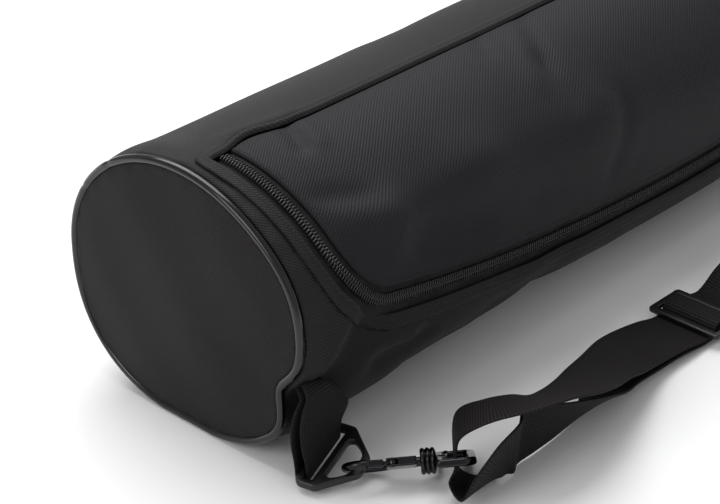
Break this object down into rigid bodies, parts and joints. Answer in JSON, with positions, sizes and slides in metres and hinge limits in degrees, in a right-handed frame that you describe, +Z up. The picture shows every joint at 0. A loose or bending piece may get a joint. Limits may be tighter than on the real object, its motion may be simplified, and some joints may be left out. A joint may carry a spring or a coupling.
{
  "type": "yoga mat bag",
  "caption": "Tube-shaped cloth bag for a rolled yoga mat, with piped round ends, a zipped side panel, webbing tabs, two-slot rings and a clip-on adjustable shoulder strap.",
  "frame": {"origin": "on the resting surface under the middle of the bag's tube", "axes": "+X along the tube, +Z up, -Y towards the zipped panel and the strap"},
  "size_m": [0.696, 0.3937, 0.1621],
  "materials": {
    "oxford": "matte black polyester oxford cloth",
    "end_cloth": "matte black polyester oxford cloth",
    "tape": "matte black woven tape",
    "webbing": "matte black ribbed webbing",
    "vinyl": "glossy black soft PVC",
    "coil": "black nylon zip coil",
    "acetal": "satin black moulded plastic",
    "metal": "gloss black painted metal"
  },
  "bodies": {
    "bag": {"tube_cloth": "oxford", "panel_cloth": "oxford", "zip_tape_bag": "tape", "zip_tape_panel": "tape", "zip_coil": "coil", "zip_slider": "metal", "tab_webbing_left": "webbing", "tab_webbing_right": "webbing", "ring_left": "acetal", "ring_right": "acetal", "hook_loop_left": "metal", "hook_right": "metal", "end_cloth_left": "end_cloth", "end_cloth_right": "end_cloth", "piping_left": "vinyl", "piping_right": "vinyl", "strap_webbing": "webbing", "strap_adjuster": "acetal"},
    "hook": {"hook_left": "metal"},
    "gate": {"gate_left": "metal"}
  },
  "joints": [
    {"name": "hook_swivel", "type": "hinge", "parent": "bag", "child": "hook", "pos_m": [-0.3257, -0.10228, 0.0095], "axis": [0.7011, -0.708, 0.0849], "range_deg": [-15, 5]},
    {"name": "gate_hinge", "type": "hinge", "parent": "hook", "child": "gate", "pos_m": [-0.31017, -0.12494, 0.01623], "axis": [-0.4302, -0.5149, -0.7415], "range_deg": [0, 24], "stiffness_Nm_per_rad": 0.002}
  ]
}
